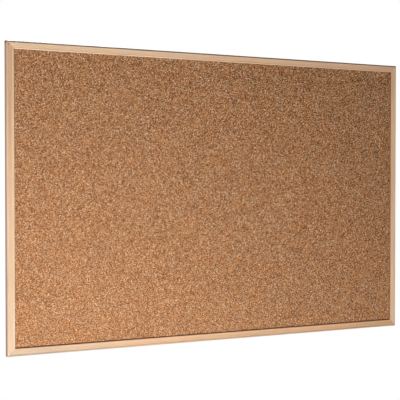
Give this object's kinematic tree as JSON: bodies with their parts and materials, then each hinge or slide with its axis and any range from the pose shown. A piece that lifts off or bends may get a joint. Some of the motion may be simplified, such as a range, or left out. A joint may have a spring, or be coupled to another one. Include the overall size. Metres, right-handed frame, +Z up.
{
  "type": "cork bulletin board",
  "caption": "Rectangular cork bulletin board in a mitred moulded wood frame, with a hardboard back and two hinged wire ring hangers for the wall.",
  "frame": {"origin": "centre of the back panel's outer face, in the plane of the backs of the rails", "axes": "+Z up, +X along the width, and the cork faces -Y; the wall is on the +Y side"},
  "size_m": [0.9, 0.0186, 0.6],
  "materials": {
    "frame_wood": "satin",
    "cork": "matte",
    "fibreboard": "matte",
    "hardboard": "satin",
    "v_nail_steel": "satin",
    "staple_wire": "satin",
    "hanger_plate": "satin",
    "ring_wire": "satin",
    "screw_steel": "satin",
    "bumper_rubber": "matte"
  },
  "bodies": {
    "board": {"top_rail": "frame_wood", "bottom_rail": "frame_wood", "left_rail": "frame_wood", "right_rail": "frame_wood", "back_panel": "hardboard", "core_board": "fibreboard", "cork_sheet": "cork", "v_nails_top_left": "v_nail_steel", "v_nails_top_right": "v_nail_steel", "v_nails_bottom_left": "v_nail_steel", "v_nails_bottom_right": "v_nail_steel", "staples_top": "staple_wire", "staples_bottom": "staple_wire", "staples_left": "staple_wire", "staples_right": "staple_wire", "hanger_strap_left": "hanger_plate", "hanger_screw_left": "screw_steel", "bumper_left": "bumper_rubber", "hanger_strap_right": "hanger_plate", "hanger_screw_right": "screw_steel", "bumper_right": "bumper_rubber"},
    "ring_left": {"hanger_ring_left": "ring_wire"},
    "ring_right": {"hanger_ring_right": "ring_wire"}
  },
  "joints": [
    {"name": "ring_left_swing", "type": "hinge", "parent": "board", "child": "ring_left", "pos_m": [-0.443, 0.0017, 0.18], "axis": [1, 0, 0], "range_deg": [0, 175]},
    {"name": "ring_right_swing", "type": "hinge", "parent": "board", "child": "ring_right", "pos_m": [0.443, 0.0017, 0.18], "axis": [1, 0, 0], "range_deg": [0, 175]}
  ]
}
